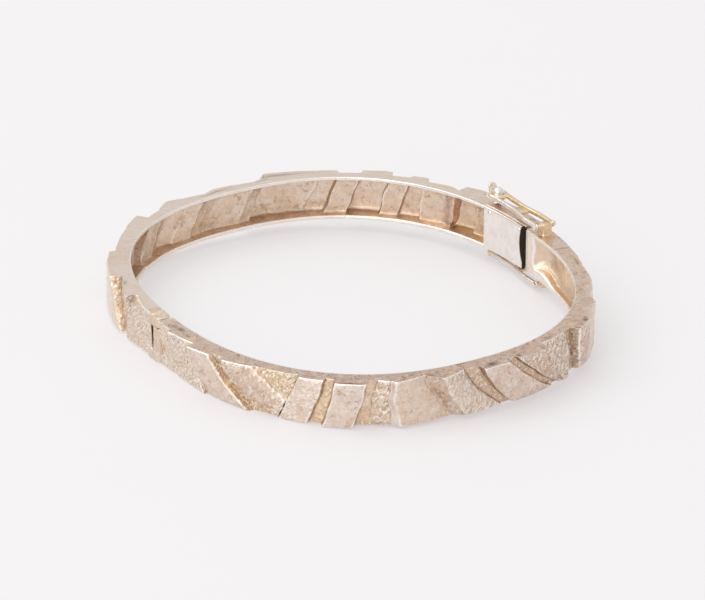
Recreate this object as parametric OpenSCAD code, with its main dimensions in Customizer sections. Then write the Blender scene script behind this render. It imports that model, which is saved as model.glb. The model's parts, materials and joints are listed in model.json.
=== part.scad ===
// Hinged oval bangle: two cast channel halves with a facetted, bark-like relief outside,
// a pinned barrel hinge on -X, a box clasp with a folded spring tongue on +X,
// and two figure-of-eight safety catches over studs, one on each side face.
// Frame: +Z is the axis of the wrist opening, the origin is its centre,
// the long axis of the oval lies along Y. Sizes are in millimetres.

/* [Band] */
// Half of the wrist opening from the hinge to the clasp
half_x = 25.4; // [24:0.1:28]
// Half of the wrist opening along its long axis
half_y = 29.0; // [28:0.1:32]
// Squareness of the oval, where 2 is an ellipse
oval_n = 2.3; // [2.1:0.05:2.5]
// Height of the band between its flat side faces
band_h = 5.9; // [5.6:0.1:6.5]
// Wall left between the outer relief and the pocket
wall = 0.75; // [0.6:0.05:0.9]
// Thickness of the two rims beside the pocket
rim = 0.54; // [0.45:0.01:0.7]
// Angle between neighbouring cross-sections of the casting
section_step = 2; // [2:1:4]

/* [Hinge] */
// Radius of the hinge barrel
barrel_r = 1.0; // [0.95:0.01:1.05]
// Position of the hinge pin along Y
hinge_y = 0.9; // [0.7:0.1:1.1]
// Radius of the hinge pin
hinge_pin_r = 0.45; // [0.35:0.01:0.5]
// Radial clearance of the middle knuckle on the pin
hinge_fit = 0.03; // [0.02:0.01:0.05]
// Clearance between the barrel and the recess it turns in
recess_gap = 0.1; // [0.08:0.01:0.15]
// Height of the middle knuckle
mid_knuckle_h = 3.2; // [2.8:0.1:3.4]
// Length of each hinge end block along the band
hinge_end_l = 2.4; // [2.2:0.1:2.6]

/* [Clasp] */
// Length of the clasp box along the band
box_l = 8.1; // [7.9:0.1:8.3]
// Distance of the box mouth from the plane of the joint
mouth_y = 0.6; // [0.5:0.05:0.8]
// Thickness of the polished plate that closes the box on the inside
inner_plate_t = 0.5; // [0.4:0.05:0.5]
// Thickness of the end plate that carries the tongue
end_plate_t = 0.7; // [0.6:0.05:0.8]
// Thickness of the sheet the tongue is folded from
leaf_t = 0.35; // [0.3:0.01:0.4]
// Length of the tongue inside the box
tongue_l = 7.2; // [7.0:0.1:7.3]
// Width of the tongue across the band
tongue_w = 3.2; // [2.8:0.1:3.4]
// Rise of the free end of the spring leaf towards the outside
leaf_rise_deg = 8.5; // [8.2:0.1:8.6]

/* [Safety catches] */
// Radius of the wire of the figure-of-eight loop
wire_r = 0.33; // [0.28:0.01:0.35]
// Distance between the centre lines of the two side bars at the pin
loop_w = 2.3; // [2.2:0.05:2.4]
// Distance between the centre lines of the two side bars at the waist
waist_w = 1.6; // [1.5:0.05:1.7]
// Height of the loop's plane above the side face of the band
loop_rise = 1.0; // [0.9:0.05:1.1]
// Position of the loop's pin along Y
loop_pin_y = -2.2; // [-2.3:0.05:-2.1]
// Position of the stud along Y
stud_y = 8.8; // [8.6:0.05:8.9]
// Radius of the ring that snaps over the stud, at the centre of its wire
loop_eye_r = 0.98; // [0.98:0.01:1.05]
// Radius of the ball on the stud
stud_ball_r = 0.72; // [0.65:0.01:0.72]
// Height of the ball's centre above the loop's plane
stud_ball_lift = 0.35; // [0.35:0.01:0.45]
// Radius of the loop's pin
loop_pin_r = 0.3; // [0.25:0.01:0.3]

/* [Hidden] */
$fn = 32;

half_h = band_h / 2;
hinge_x = -(half_x + barrel_r + 0.02);
hinge_end_t = 2 * barrel_r;
corner_cut = 0.35;
pocket_row = half_h - rim;
shut_pocket = 0.02;

// Relief of each half, as facets in the order of their angle about the opening. A row holds the
// angle of a facet's starting edge at the top and at the bottom face, then its height over the
// wrist opening at four corners: start top, end top, start bottom, end bottom. The seventh number
// bends the starting edge, in degrees at mid height. The eighth says how late, going up, the
// bottom heights give way to the top ones: 1 is an even slope, 4 a chamfer under the top face.
rear_relief = [
    [-6, -6, 2.9, 2.9, 2.9, 2.9, 0, 1],
    [7, 4, 2.8, 3.1, 2.8, 3.0, 0.5, 1],
    [14, 17, 3.1, 2.9, 3.1, 2.9, -0.5, 1],
    [21, 20, 2.2, 2.6, 2.4, 2.3, 0.5, 1],
    [25, 27, 3.6, 3.1, 3.3, 2.9, -0.5, 1],
    [31, 33, 1.4, 2.0, 1.9, 2.3, 0, 1],
    [34, 36, 2.1, 1.7, 2.3, 1.9, 0, 1],
    [41, 42, 2.7, 2.5, 2.6, 2.5, 0.5, 1],
    [45, 46, 1.9, 1.6, 2.1, 1.8, 0, 1],
    [50, 48, 2.9, 2.6, 2.7, 2.9, 0.5, 1],
    [57, 55, 1.7, 1.6, 1.8, 1.7, 0, 1],
    [63, 65, 2.4, 2.6, 2.5, 2.8, -0.5, 1],
    [67, 70, 2.5, 3.3, 2.8, 3.1, -0.5, 1],
    [80, 78, 2.0, 1.4, 2.2, 2.0, 0.5, 2],
    [84, 83, 1.5, 2.1, 2.1, 2.3, 0, 2],
    [94, 96, 2.0, 1.3, 2.3, 2.0, 0, 2],
    [98, 100, 1.4, 1.9, 1.9, 2.2, 0, 1],
    [103, 106, 2.0, 2.9, 2.6, 3.0, -0.5, 1],
    [107, 110, 2.8, 1.9, 2.8, 2.4, 0, 1],
    [111, 114, 1.6, 1.5, 1.9, 1.8, 0, 1],
    [117, 119, 3.1, 2.5, 2.9, 2.7, 0.5, 1],
    [125, 128, 2.4, 2.1, 2.6, 2.7, -0.5, 1],
    [137, 139, 2.9, 3.1, 3.2, 3.5, -0.5, 1],
    [151, 158, 1.5, 2.7, 2.0, 2.1, -1, 2],
    [163, 162, 1.2, 2.0, 2.5, 1.8, 0, 5],
    [184, 184, 1.9, 1.9, 1.9, 1.9, 0, 1]];
front_relief = [
    [176, 176, 2.1, 2.0, 1.8, 1.7, 0, 1],
    [187, 187, 2.7, 2.1, 1.7, 2.4, 0, 2],
    [197, 202, 3.3, 2.9, 2.0, 2.5, -0.5, 1],
    [204, 216, 2.2, 2.3, 1.7, 1.7, -1.5, 1],
    [208, 226, 2.9, 2.1, 2.2, 2.2, -4.5, 1],
    [216, 231, 1.8, 1.5, 1.8, 1.7, 0, 2],
    [228, 223, 2.2, 2.4, 2.3, 2.5, 0, 1],
    [234, 230, 1.6, 1.7, 1.8, 1.9, 0, 1],
    [236, 233, 3.0, 3.0, 2.9, 2.9, 0, 1],
    [243, 240, 1.6, 1.6, 1.8, 1.8, 0, 1],
    [245, 243, 1.8, 2.2, 1.8, 2.1, 0, 1],
    [249, 250, 2.8, 1.5, 2.8, 1.6, -0.5, 1],
    [256, 262, 1.5, 3.1, 1.5, 2.3, -0.5, 1],
    [259, 265, 3.2, 1.9, 2.5, 2.0, -0.5, 1],
    [265, 275, 1.6, 1.9, 1.6, 1.7, -1, 1],
    [269, 278, 3.1, 3.1, 2.3, 2.3, -1, 1],
    [276, 290, 1.9, 2.0, 1.8, 1.8, -1, 1],
    [279, 292, 2.7, 3.1, 2.3, 2.2, -1, 1],
    [287, 293, 1.5, 1.9, 2.6, 2.7, 0, 4],
    [295, 295, 1.7, 1.8, 1.8, 1.8, 0, 1],
    [298, 300, 3.2, 3.2, 2.6, 2.8, 0, 1],
    [304, 304, 3.0, 1.4, 2.8, 2.7, 0, 4],
    [307, 307, 1.4, 2.8, 2.7, 2.6, 0, 4],
    [312, 309, 2.8, 1.0, 2.6, 2.4, 0, 4],
    [318, 319, 1.0, 2.3, 2.3, 2.4, 0, 4],
    [324, 321, 2.3, 2.1, 2.4, 2.2, 0, 1],
    [333, 330, 2.1, 2.4, 2.3, 2.4, 0, 2],
    [343, 346, 2.5, 2.8, 2.7, 2.8, 0, 1],
    [366, 366, 2.8, 2.8, 2.8, 2.8, 0, 1]];

function mix(a, b, t) = a + (b - a) * t;
function clamp01(t) = min(1, max(0, t));
function signed_pow(v, p) = sign(v) * pow(abs(v), p);

// Point of the wrist opening at an angle, and the outward normal there.
function oval_r(t) = pow(pow(abs(cos(t)) / half_x, oval_n) + pow(abs(sin(t)) / half_y, oval_n), -1 / oval_n);
function oval_point(t) = oval_r(t) * [cos(t), sin(t)];
function oval_normal(t) =
    let (p = oval_point(t),
         g = [signed_pow(p[0] / half_x, oval_n - 1) / half_x, signed_pow(p[1] / half_y, oval_n - 1) / half_y])
    g / norm(g);
function band_point(t, off, z) = let (p = oval_point(t) + off * oval_normal(t)) [p[0], p[1], z];

// Angle at which the wrist opening reaches a given y on the hinge or the clasp side.
function angle_at_y(y, side) = atan2(y, side * half_x * pow(1 - pow(abs(y) / half_y, oval_n), 1 / oval_n));

// Height of the outer relief over the wrist opening at an angle and a height z.
function edge_angle(row, z) =
    let (h = z / band_h + 0.5)
    mix(row[1], row[0], h) + row[6] * 4 * h * (1 - h);
function facet_at(t, z, relief) = max([for (i = [0 : len(relief) - 2]) if (edge_angle(relief[i], z) <= t) i]);
function relief_off(t, z, relief) =
    let (i = facet_at(t, z, relief),
         row = relief[i],
         start = edge_angle(row, z),
         end = edge_angle(relief[i + 1], z),
         u = clamp01((t - start) / max(0.01, end - start)))
    mix(mix(row[4], row[5], u), mix(row[2], row[3], u), pow(clamp01(z / band_h + 0.5), row[7]));

outer_rows = [for (k = [-2.5 : 1 : 2.5]) k / 2.5 * half_h];

// One closed cross-section: outer rows upwards, then the inner side with its pocket downwards.
// section is [angle, pocket open or shut, setback of the inner side].
function section_ring(section, relief) =
    let (t = section[0],
         seat = section[2],
         deep_z = pocket_row - 0.15,
         floor_top = section[1] ? max(seat + 0.4, relief_off(t, deep_z, relief) - wall) : seat,
         floor_bottom = section[1] ? max(seat + 0.4, relief_off(t, -deep_z, relief) - wall) : seat,
         deep_top_z = section[1] ? pocket_row : pocket_row - shut_pocket,
         deep_bottom_z = -deep_top_z)
    concat([for (z = outer_rows) band_point(t, relief_off(t, z, relief), z)],
           [band_point(t, seat, half_h),
            band_point(t, seat, pocket_row),
            band_point(t, floor_top, deep_top_z),
            band_point(t, floor_bottom, deep_bottom_z),
            band_point(t, seat, -pocket_row),
            band_point(t, seat, -half_h)]);

// Triangles of a cross-section, between its six outer points (0 to 5) and its inner side (6 to 11).
cap_triangles = [[0, 1, 9], [1, 2, 9], [2, 8, 9], [2, 3, 8], [3, 4, 8], [4, 5, 8],
                 [5, 6, 7], [5, 7, 8], [0, 9, 10], [0, 10, 11]];

// A cast half: the cross-sections joined into one closed skin.
module channel(sections, relief) {
    rings = [for (s = sections) section_ring(s, relief)];
    m = len(rings[0]);
    n = len(rings);
    points = [for (r = rings) for (p = r) p];
    sides = [for (j = [0 : n - 2]) for (k = [0 : m - 1])
             let (a = j * m + k, b = j * m + (k + 1) % m)
             each [[a, b, b + m], [a, b + m, a + m]]];
    last_cap = [for (f = cap_triangles) (n - 1) * m * [1, 1, 1] + f];
    first_cap = [for (f = cap_triangles) [f[2], f[1], f[0]]];
    polyhedron(points = points, faces = concat(first_cap, sides, last_cap), convexity = 10);
}

box_end_angle = angle_at_y(box_l + mouth_y, 1);
mouth_angle = angle_at_y(mouth_y, 1);
rear_hinge_angle = angle_at_y(hinge_y + hinge_end_l, -1);
front_hinge_angle = 360 + angle_at_y(hinge_y - hinge_end_l, -1);
front_mouth_angle = 360 + angle_at_y(-end_plate_t, 1);
// The pockets end this far from the hinge, in degrees, and this one at the clasp.
pocket_end = 11;
front_pocket_last = 355;
// The solid end stretch has a middle cross-section here, in degrees from the hinge.
solid_mid = 9;
// Angle over which a pocket's end wall or the box's step is cut.
step_angle = 0.35;

rear_sections = concat(
    [for (t = [mouth_angle : section_step : box_end_angle - 1]) [t, true, inner_plate_t]],
    [[box_end_angle, true, inner_plate_t], [box_end_angle + step_angle, true, 0]],
    [for (t = [box_end_angle + section_step : section_step : 180 - pocket_end - 1]) [t, true, 0]],
    [[180 - pocket_end, true, 0], [180 - pocket_end + step_angle, false, 0],
     [180 - solid_mid, false, 0], [rear_hinge_angle, false, 0]]);

front_sections = concat(
    [[front_hinge_angle, false, 0], [180 + solid_mid, false, 0],
     [180 + pocket_end - step_angle, false, 0], [180 + pocket_end, true, 0]],
    [for (t = [180 + pocket_end + section_step : section_step : front_pocket_last - 1]) [t, true, 0]],
    [[front_pocket_last, true, 0], [front_pocket_last + step_angle, false, 0],
     [front_mouth_angle, false, 0]]);

// The box is open at its mouth; a notch in its outer wall lets the thumb tab's stem through.
box_floor = 2.0;
tab_w = 1.8;
tab_notch_w = 2.2;
tab_notch_l = 1.7;
module rear_half_hoop() {
    color("#cdb792")
    difference() {
        channel(rear_sections, rear_relief);
        translate([half_x + box_floor + 0.1, -1, -tab_notch_w / 2])
            cube([2, 1 + mouth_y + tab_notch_l, tab_notch_w]);
    }
}

module front_half_hoop() {
    color("#cdb792") channel(front_sections, front_relief);
}

// End block of one half at the hinge, on the side of the pin that dir gives, before its knuckles.
module hinge_block(dir) {
    inner_x = hinge_x + hinge_end_t / 2;
    outer_x = hinge_x - hinge_end_t / 2;
    translate([0, 0, -half_h])
        linear_extrude(band_h)
            polygon([[inner_x, hinge_y],
                     [inner_x, hinge_y + dir * hinge_end_l],
                     [outer_x, hinge_y + dir * hinge_end_l],
                     [outer_x, hinge_y + dir * (barrel_r + corner_cut)],
                     [hinge_x, hinge_y]]);
}

// Ring of the barrel between two heights, with extra on its radius.
module barrel(z0, z1, extra = 0) {
    translate([hinge_x, hinge_y, z0]) cylinder(h = z1 - z0, r = barrel_r + extra);
}

knuckle_gap = 0.06;
mid_z = mid_knuckle_h / 2;
module rear_hinge_end() {
    color("#c9ad80")
    difference() {
        union() {
            difference() {
                hinge_block(1);
                barrel(-mid_z - knuckle_gap, mid_z + knuckle_gap, recess_gap);
            }
            barrel(mid_z + knuckle_gap, half_h);
            barrel(-half_h, -mid_z - knuckle_gap);
        }
        translate([hinge_x, hinge_y, -half_h - 1]) cylinder(h = band_h + 2, r = hinge_pin_r);
    }
}

module front_hinge_end() {
    color("#cdb792")
    difference() {
        union() {
            difference() {
                hinge_block(-1);
                barrel(mid_z, half_h + 1, recess_gap);
                barrel(-half_h - 1, -mid_z, recess_gap);
            }
            barrel(-mid_z, mid_z);
        }
        translate([hinge_x, hinge_y, -half_h - 1]) cylinder(h = band_h + 2, r = hinge_pin_r + hinge_fit);
    }
}

module hinge_pin() {
    color("#b7a98d")
    translate([hinge_x, hinge_y, -half_h]) cylinder(h = band_h, r = hinge_pin_r);
}

// Polished plate over the box: a strip that follows the wrist opening.
scallop_r = 6.5;
scallop_depth = 0.4;
scallop_z = 0.8;
plate_inset = 0.05;
module clasp_inner_plate() {
    first = mouth_angle;
    last = box_end_angle - 0.1;
    steps = 8;
    inside = [for (i = [0 : steps]) let (p = band_point(mix(first, last, i / steps), 0, 0)) [p[0], p[1]]];
    outside = [for (i = [steps : -1 : 0])
               let (p = band_point(mix(first, last, i / steps), inner_plate_t, 0)) [p[0], p[1]]];
    color("#d9d4cc")
    difference() {
        translate([0, 0, -half_h + plate_inset])
            linear_extrude(band_h - 2 * plate_inset) polygon(concat(inside, outside));
        translate([half_x - 1, mouth_y + scallop_depth - scallop_r, scallop_z])
            rotate([0, 90, 0]) cylinder(h = 3, r = scallop_r, $fn = 64);
    }
}

// Places a child at an angle of the band: its x is the outward normal and its y runs along the band.
module at_band(t) {
    p = oval_point(t);
    n = oval_normal(t);
    multmatrix([[n[0], -n[1], 0, p[0]], [n[1], n[0], 0, p[1]], [0, 0, 1, 0], [0, 0, 0, 1]]) children();
}

// Wall across the far end of the box, where its cavity ends and the open pocket begins.
back_wall_t = 0.5;
back_wall_step = 1.6;
module clasp_back_wall() {
    color("#c2ae8c")
    at_band(box_end_angle - back_wall_step)
        translate([inner_plate_t, -back_wall_t / 2, -pocket_row])
            cube([box_floor - inner_plate_t, back_wall_t, 2 * pocket_row]);
}

// Plate inside the mouth of the box; the tongue passes its window and catches behind its outer bar.
mouth_plate_t = 0.5;
window_x = half_x + 0.75;
lip_x = half_x + 1.62;
module clasp_mouth_plate() {
    color("#c2ae8c")
    difference() {
        translate([half_x + inner_plate_t, mouth_y + 0.1, -pocket_row])
            cube([box_floor - inner_plate_t + 0.1, mouth_plate_t, 2 * pocket_row]);
        translate([window_x, 0, -tongue_w / 2 - 0.2])
            cube([lip_x - window_x, 3, tongue_w + 0.4]);
        translate([window_x, 0, -tab_w / 2 - 0.1])
            cube([4, 3, tab_w + 0.2]);
    }
}

end_plate_w = 2.7;
module tongue_end_plate() {
    color("#d0c8ba")
    translate([half_x, -end_plate_t, -half_h])
        cube([end_plate_w, end_plate_t, band_h]);
}

// The tongue leans with the curve of the box; its fold is at the far end of the box.
tongue_x = half_x + 0.85;
tongue_lean_deg = 3;
fold_r = 0.35;
fold_x = tongue_x - (tongue_l - fold_r) * sin(tongue_lean_deg) + fold_r;
fold_y = (tongue_l - fold_r) * cos(tongue_lean_deg);
module tongue_base_leaf() {
    color("#cfc6b4")
    translate([tongue_x, 0, -tongue_w / 2])
        rotate([0, 0, tongue_lean_deg])
            cube([leaf_t, tongue_l - 2 * fold_r, tongue_w]);
}

// The sprung half of the folded tongue, with the round of the fold.
catch_gap = 0.12;
leaf_reach = fold_y - (mouth_y + 0.1 + mouth_plate_t) - catch_gap;
module tongue_spring_leaf() {
    color("#cfc6b4")
    translate([fold_x, fold_y, -tongue_w / 2]) {
        cylinder(h = tongue_w, r = fold_r);
        rotate([0, 0, leaf_rise_deg])
            translate([fold_r - leaf_t, -leaf_reach, 0])
                cube([leaf_t, leaf_reach, tongue_w]);
    }
}

// Thumb tab, soldered on the outer face of the spring leaf and standing square to it.
stem_l = 1.75;
stem_t = 0.8;
stem_overlap = 0.3;
pad_t = 0.5;
pad_l = 3.2;
pad_w = 2.8;
module thumb_tab() {
    color("#cdb792")
    translate([fold_x, fold_y, 0]) rotate([0, 0, leaf_rise_deg]) translate([fold_r, -leaf_reach, 0]) {
        translate([0, stem_overlap - stem_t, -tab_w / 2])
            cube([stem_l + pad_t / 2, stem_t, tab_w]);
        translate([stem_l, stem_overlap - (stem_t + pad_l) / 2, -pad_w / 2])
            cube([pad_t, pad_l, pad_w]);
    }
}

// The safety catches: side is 1 on the upper side face and -1 on the lower one.
loop_x = half_x + 1.5;
loop_z = half_h + loop_rise;
waist_y = 3.9;
web_y = 2.2;
web_t = 0.45;
eye_r = 0.5;
tip_w = 1.2;
tip_t = 0.4;
tip_l = 1.3;
tip_tilt_deg = 60;

// A round wire between two points in the loop's plane, running on past both of them.
wire_run_on = 0.12;
module wire(p, q, r) {
    d = q - p;
    translate([p[0], p[1], 0]) rotate([0, 90, atan2(d[1], d[0])])
        translate([0, 0, -wire_run_on]) cylinder(h = norm(d) + 2 * wire_run_on, r = r);
}

// One side bar of the loop, from its eye on the pin over the waist to the ring; its middle
// stretch is slimmer, so that the three wires' surfaces cross instead of running together.
slimmer = 0.03;
module side_bar(s) {
    shoulder = [s * loop_w / 2, 0.8];
    waist = [s * waist_w / 2, waist_y];
    ring = [s * waist_w / 2, stud_y - 0.6];
    wire([s * loop_w / 2, loop_pin_y], shoulder, wire_r);
    wire(shoulder, waist, wire_r - slimmer);
    wire(waist, ring, wire_r);
    translate([s * loop_w / 2 - wire_r, loop_pin_y, 0])
        rotate([0, 90, 0]) cylinder(h = 2 * wire_r, r = eye_r);
}
module safety_loop(side) {
    color("#c9b183")
    translate([loop_x, 0, side * loop_z]) {
        difference() {
            union() {
                side_bar(-1);
                side_bar(1);
                translate([-waist_w / 2, web_y, -web_t / 2]) cube([waist_w, waist_y - web_y, web_t]);
                translate([0, stud_y, 0])
                    rotate_extrude() translate([loop_eye_r, 0]) circle(r = wire_r);
            }
            translate([-4, loop_pin_y, 0]) rotate([0, 90, 0]) cylinder(h = 8, r = loop_pin_r + 0.03);
        }
        translate([0, stud_y + loop_eye_r, 0]) rotate([side * tip_tilt_deg, 0, 0])
            translate([-tip_w / 2, 0, -tip_t / 2]) cube([tip_w, tip_l, tip_t]);
    }
}

// Soldered lug between the loop's two eyes, bored for the pin.
lug_w = 1.3;
lug_l = 1.3;
lug_h = loop_rise + 0.45;
lug_back = 0.8;
module safety_lug(side) {
    color("#c9a875")
    difference() {
        translate([loop_x - lug_w / 2, loop_pin_y - lug_back, side * (half_h + lug_h / 2) - lug_h / 2])
            cube([lug_w, lug_l, lug_h]);
        translate([loop_x - 4, loop_pin_y, side * loop_z])
            rotate([0, 90, 0]) cylinder(h = 8, r = loop_pin_r);
    }
}

pin_overhang = 0.1;
module safety_pin(side) {
    pin_l = loop_w + 2 * (wire_r + pin_overhang);
    color("#d9d4cc")
    translate([loop_x - pin_l / 2, loop_pin_y, side * loop_z])
        rotate([0, 90, 0]) cylinder(h = pin_l, r = loop_pin_r);
}

stud_post_r = 0.4;
module safety_stud(side) {
    color("#d9d4cc")
    translate([loop_x, stud_y, 0]) {
        translate([0, 0, side > 0 ? half_h : -loop_z]) cylinder(h = loop_rise, r = stud_post_r);
        translate([0, 0, side * (loop_z + stud_ball_lift)]) sphere(r = stud_ball_r);
    }
}

module upper_safety_loop() { safety_loop(1); }
module upper_safety_lug() { safety_lug(1); }
module upper_safety_pin() { safety_pin(1); }
module upper_safety_stud() { safety_stud(1); }
module lower_safety_loop() { safety_loop(-1); }
module lower_safety_lug() { safety_lug(-1); }
module lower_safety_pin() { safety_pin(-1); }
module lower_safety_stud() { safety_stud(-1); }

rear_half_hoop();
front_half_hoop();
rear_hinge_end();
front_hinge_end();
hinge_pin();
clasp_inner_plate();
clasp_back_wall();
clasp_mouth_plate();
tongue_end_plate();
tongue_base_leaf();
tongue_spring_leaf();
thumb_tab();
upper_safety_loop();
upper_safety_lug();
upper_safety_pin();
upper_safety_stud();
lower_safety_loop();
lower_safety_lug();
lower_safety_pin();
lower_safety_stud();
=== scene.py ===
"""Looks of a hinged oval bangle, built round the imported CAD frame.

The castings are grids whose columns follow the edges of their carved facets. The clasp, the hinge
and the safety catches are lofted and swept pieces. Lengths are in millimetres until MM is applied.
"""
import json
import math
from collections import namedtuple

import bmesh
import bpy
import numpy as np
from mathutils import Matrix, Vector, noise


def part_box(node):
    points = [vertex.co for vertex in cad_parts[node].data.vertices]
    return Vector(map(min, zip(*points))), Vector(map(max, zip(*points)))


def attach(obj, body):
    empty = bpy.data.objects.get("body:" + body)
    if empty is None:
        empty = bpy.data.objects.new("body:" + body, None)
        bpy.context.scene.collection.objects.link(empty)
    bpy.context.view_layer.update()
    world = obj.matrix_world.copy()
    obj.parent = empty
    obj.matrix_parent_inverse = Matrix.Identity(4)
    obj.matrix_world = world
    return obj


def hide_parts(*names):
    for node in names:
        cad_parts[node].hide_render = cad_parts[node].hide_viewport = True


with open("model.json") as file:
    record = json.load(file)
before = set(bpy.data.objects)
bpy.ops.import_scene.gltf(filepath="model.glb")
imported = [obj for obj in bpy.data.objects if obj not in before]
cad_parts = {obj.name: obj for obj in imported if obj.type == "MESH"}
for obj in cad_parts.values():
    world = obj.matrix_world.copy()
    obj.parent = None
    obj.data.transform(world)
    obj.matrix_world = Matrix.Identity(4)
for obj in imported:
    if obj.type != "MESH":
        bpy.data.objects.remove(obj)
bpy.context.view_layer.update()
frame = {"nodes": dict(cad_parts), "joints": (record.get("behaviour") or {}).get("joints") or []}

MM = 0.001
NOISE_SEED = 5
# Without a seed, noise_vector differs from run to run.
noise.seed_set(NOISE_SEED)
X_AXIS, Y_AXIS, Z_AXIS = (Vector(v) for v in ((1, 0, 0), (0, 1, 0), (0, 0, 1)))


def node_box(name):
    """Lowest and highest corner of a CAD node, in millimetres."""
    low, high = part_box(name)
    return Vector(low) / MM, Vector(high) / MM


def joint_place(name):
    """Position of a joint, in millimetres."""
    joint = next(j for j in frame["joints"] if j["name"] == name)
    return Vector(joint["pos_m"]) / MM


# ---- driving dimensions
HALF_Y = 29.0
OVAL_N = 2.3
HALF_X = node_box("tongue_end_plate")[0].x
HALF_H = node_box("front_half_hoop")[1].z
BAND_H = 2 * HALF_H
RIM = 0.45
WALL = 0.75
PLATE_T = 0.5
MOUTH_Y = node_box("clasp_inner_plate")[0].y
BOX_END_Y = node_box("clasp_inner_plate")[1].y
END_PLATE_T = 0.7
REAR_HINGE_Y = node_box("rear_hinge_end")[1].y
FRONT_HINGE_Y = node_box("front_hinge_end")[0].y
HINGE = joint_place("main_hinge")
FOLD = joint_place("leaf_press")
UPPER_PIN = joint_place("upper_safety_swing")
STUD_Y = sum(corner.y for corner in node_box("upper_safety_stud")) / 2


def mix(a, b, t):
    return a + (b - a) * t


def smooth(t):
    t = np.clip(t, 0.0, 1.0)
    return t * t * (3 - 2 * t)


def crowd(v):
    """Maps -1..1 onto itself with the steps closer together towards both ends."""
    return 1.25 * v - 0.25 * v ** 3


# ---- the oval
def oval_points(theta):
    """Points of the wrist opening and outward normals, for angles in degrees."""
    t = np.radians(theta)
    c, s = np.cos(t), np.sin(t)
    r = (np.abs(c / HALF_X) ** OVAL_N + np.abs(s / HALF_Y) ** OVAL_N) ** (-1 / OVAL_N)
    p = np.stack([r * c, r * s], -1)
    g = np.stack([np.sign(c) * np.abs(p[..., 0] / HALF_X) ** (OVAL_N - 1) / HALF_X,
                  np.sign(s) * np.abs(p[..., 1] / HALF_Y) ** (OVAL_N - 1) / HALF_Y], -1)
    return p, g / np.linalg.norm(g, axis=-1, keepdims=True)


def band_points(theta, off, z):
    """Points at a distance outside the wrist opening, as an (..., 3) array."""
    p, n = oval_points(theta)
    xy = p + n * np.asarray(off)[..., None]
    z = np.broadcast_to(z, xy.shape[:-1])
    return np.concatenate([xy, z[..., None]], -1)


def angle_at_y(y, side):
    """Angle at which the wrist opening reaches y, on the clasp side (1) or the hinge side (-1)."""
    x = HALF_X * (1 - (abs(y) / HALF_Y) ** OVAL_N) ** (1 / OVAL_N)
    return math.degrees(math.atan2(y, side * x))


# ---- relief
# A facet starts at an edge (its angle at the top and at the bottom face) and ends at the next one.
# tl, tr, bl, br are its heights over the wrist opening: top or bottom, start or end. bow bends its
# starting edge. late says how late, going up, the bottom heights give way to the top ones. crown
# swells the facet, and texture, gilt and tarnish (0 to 1) are its finish.
Facet = namedtuple("Facet", "top bottom tl tr bl br bow late crown texture gilt tarnish")

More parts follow.
